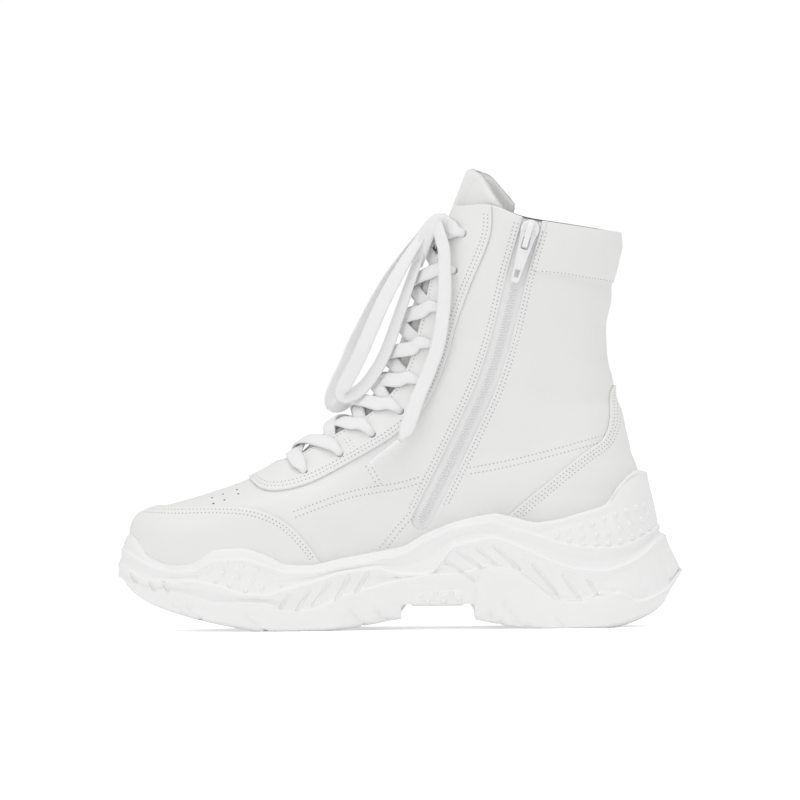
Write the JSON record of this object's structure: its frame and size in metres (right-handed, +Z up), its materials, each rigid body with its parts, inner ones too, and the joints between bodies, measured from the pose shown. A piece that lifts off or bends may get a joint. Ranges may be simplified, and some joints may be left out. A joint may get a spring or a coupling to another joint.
{
  "type": "platform sneaker",
  "caption": "High platform sneaker for the right foot, laced in front, with a zip on its inner side and a thick moulded sole.",
  "frame": {"origin": "on the ground, under the middle of the sole's length and width", "axes": "toe towards -X, heel towards +X, inner (medial) side with the zip towards -Y, +Z up"},
  "size_m": [0.2996, 0.1054, 0.2441],
  "materials": {
    "outsole": "smooth matt",
    "midsole": "smooth matt",
    "lining": "brushed",
    "leather": "smooth, fine grain",
    "zip": "coil and woven tape",
    "zip_metal": "white enamel",
    "lace": "flat woven",
    "aglet": "clear sleeve"
  },
  "bodies": {
    "shoe": {"outsole_forefoot": "outsole", "outsole_heel": "outsole", "midsole": "midsole", "insole": "lining", "upper": "leather", "toe_cap": "leather", "heel_counter": "leather", "eyestay": "leather", "collar": "leather", "tongue": "leather", "zip_chain": "zip", "zip_slider": "zip_metal", "lace_crossings": "lace", "lace_knot": "lace", "lace_loop_medial": "lace", "lace_loop_lateral": "lace", "lace_end_medial": "lace", "lace_end_lateral": "lace", "aglet_medial": "aglet", "aglet_lateral": "aglet"},
    "pull_tab": {"zip_pull": "zip_metal"}
  },
  "joints": [
    {"name": "zip_pull_swing", "type": "hinge", "parent": "shoe", "child": "pull_tab", "pos_m": [0.06944, -0.03977, 0.20819], "axis": [-0.9548, 0.0575, 0.2915], "range_deg": [0, 160]}
  ]
}
